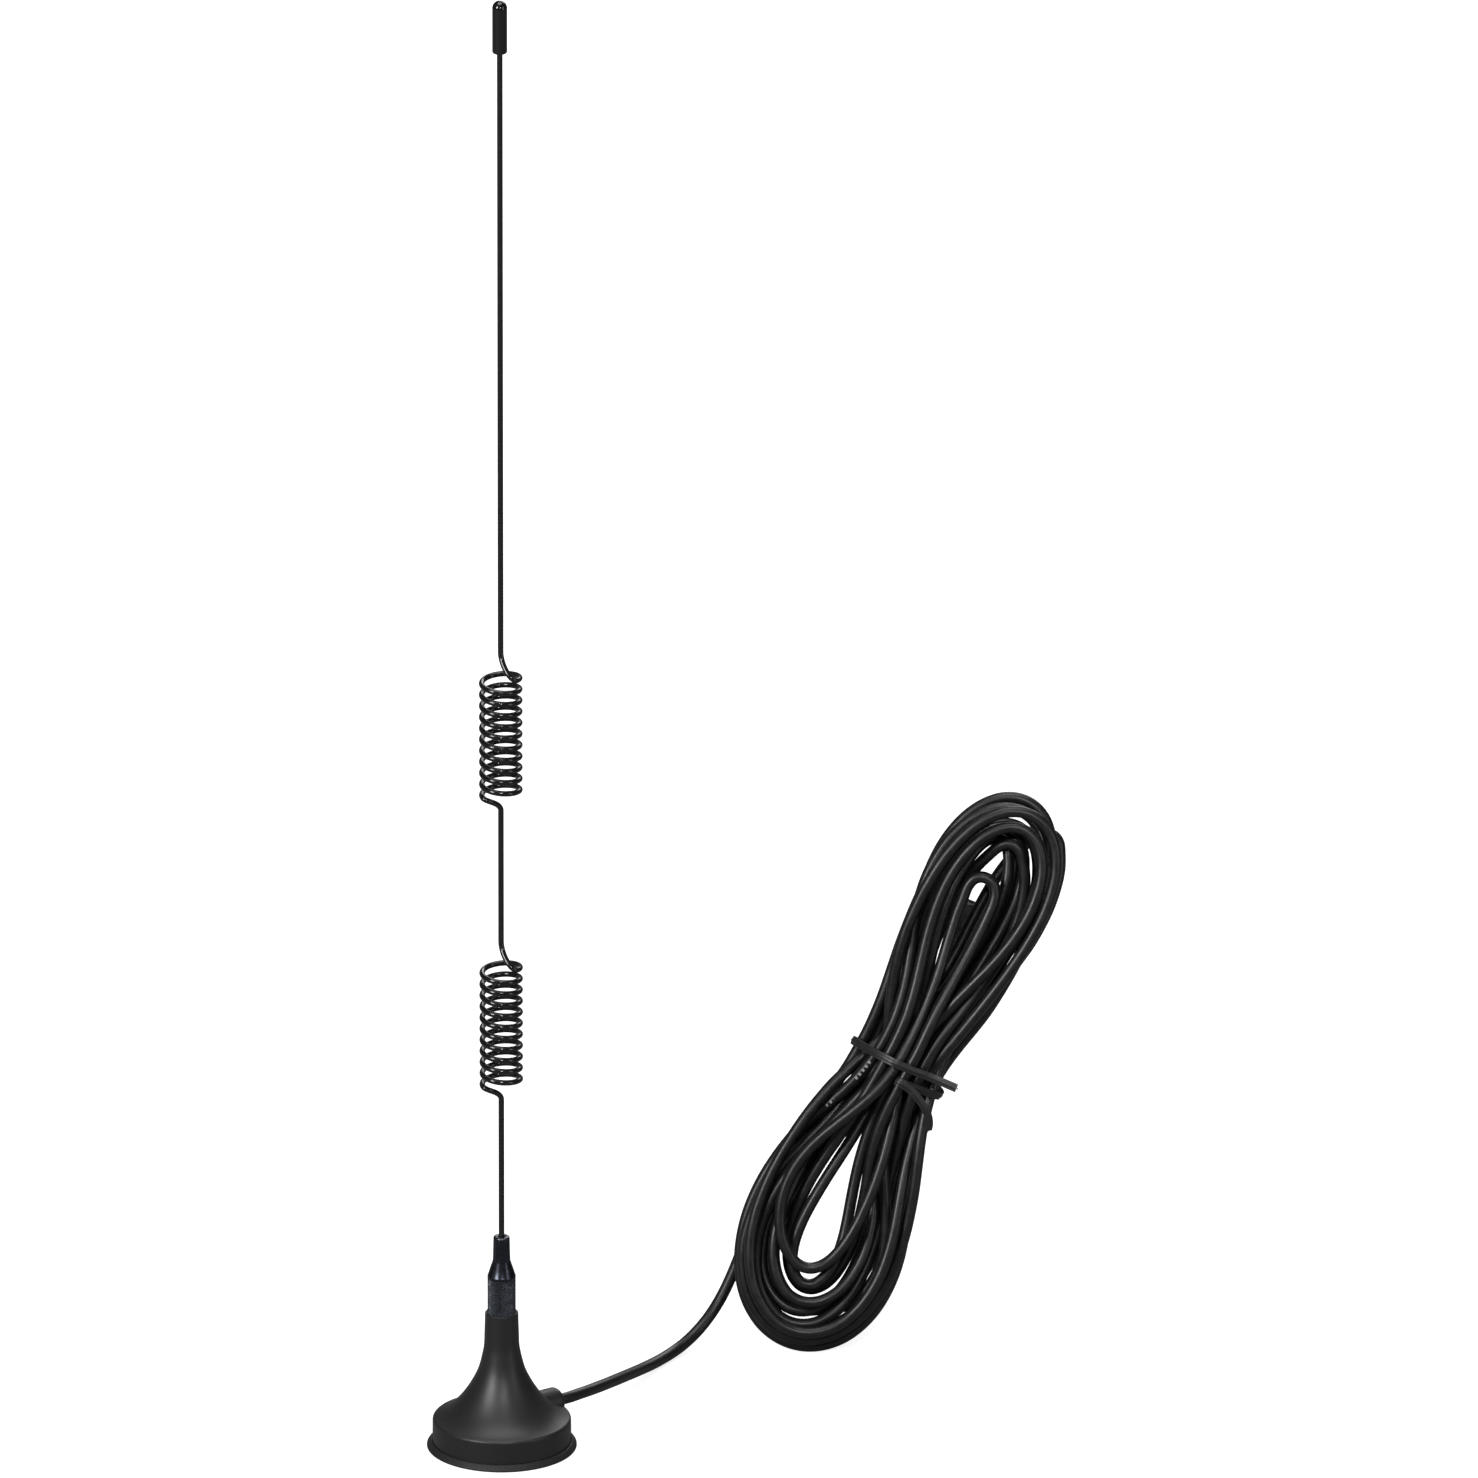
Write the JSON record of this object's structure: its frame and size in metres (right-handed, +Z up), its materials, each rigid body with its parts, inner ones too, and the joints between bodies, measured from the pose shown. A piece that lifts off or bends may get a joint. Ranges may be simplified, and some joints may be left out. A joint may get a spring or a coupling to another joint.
{
  "type": "omnidirectional antenna",
  "caption": "Magnetic-base whip antenna with two phasing coils, knurled ferrule, a tied coil of coax cable and a threaded RF plug.",
  "frame": {"origin": "centre of the foot's flat underside", "axes": "+Z up along the whip, towards its tip; +X towards the tied cable; -Y towards the front"},
  "size_m": [0.1279, 0.1004, 0.308],
  "materials": {
    "base_housing": "satin",
    "rubber_foot": "matte",
    "magnet_cup": "satin",
    "magnet": "satin",
    "ground_plate": "satin",
    "feed_stud": "satin",
    "seal_ring": "matte",
    "feed_solder": "satin",
    "ground_solder": "satin",
    "whip_ferrule": "satin",
    "whip_wire": "gloss",
    "tip_cap": "gloss",
    "coax_jacket": "satin",
    "coax_braid": "satin",
    "coax_dielectric": "satin",
    "coax_conductor": "satin",
    "heat_shrink": "satin",
    "crimp_ferrule": "satin",
    "sma_body": "polished",
    "sma_snap_ring": "satin",
    "sma_coupling_nut": "polished",
    "sma_gasket": "matte",
    "sma_insulator": "satin",
    "sma_centre_pin": "polished",
    "twist_tie_ribbon": "satin",
    "twist_tie_wire": "satin"
  },
  "bodies": {
    "base": {"base_housing": "base_housing", "rubber_foot": "rubber_foot", "magnet_cup": "magnet_cup", "magnet": "magnet", "ground_plate": "ground_plate", "feed_stud": "feed_stud", "feed_solder": "feed_solder", "ground_solder": "ground_solder", "coax_jacket": "coax_jacket", "coax_braid": "coax_braid", "coax_dielectric": "coax_dielectric", "coax_conductor": "coax_conductor", "heat_shrink": "heat_shrink", "crimp_ferrule": "crimp_ferrule", "sma_body": "sma_body", "sma_gasket": "sma_gasket", "sma_insulator": "sma_insulator", "sma_centre_pin": "sma_centre_pin", "twist_tie_ribbon": "twist_tie_ribbon", "twist_tie_wire": "twist_tie_wire"},
    "whip_turn": {"seal_ring": "seal_ring"},
    "whip": {"whip_ferrule": "whip_ferrule", "whip_wire": "whip_wire", "tip_cap": "tip_cap"},
    "nut_turn": {"sma_snap_ring": "sma_snap_ring"},
    "nut": {"sma_coupling_nut": "sma_coupling_nut"}
  },
  "joints": [
    {"name": "whip_unscrew", "type": "hinge", "parent": "base", "child": "whip_turn", "pos_m": [0, 0, 0.026], "axis": [0, 0, 1], "range_deg": [0, 2880]},
    {"name": "whip_lift", "type": "slide", "parent": "whip_turn", "child": "whip", "axis": [0, 0, 1], "range_m": [0, 0.0056]},
    {"name": "nut_spin", "type": "hinge", "parent": "base", "child": "nut_turn", "pos_m": [0.09275, 0.08001, 0.07842], "axis": [0.3979, 0.2375, 0.8862], "continuous": true},
    {"name": "nut_float", "type": "slide", "parent": "nut_turn", "child": "nut", "axis": [0.3979, 0.2375, 0.8862], "range_m": [-0.00025, 0.00032]}
  ],
  "couplings": [
    {"joint": "whip_unscrew", "follows": "whip_lift", "rad_per_m": 8976}
  ]
}
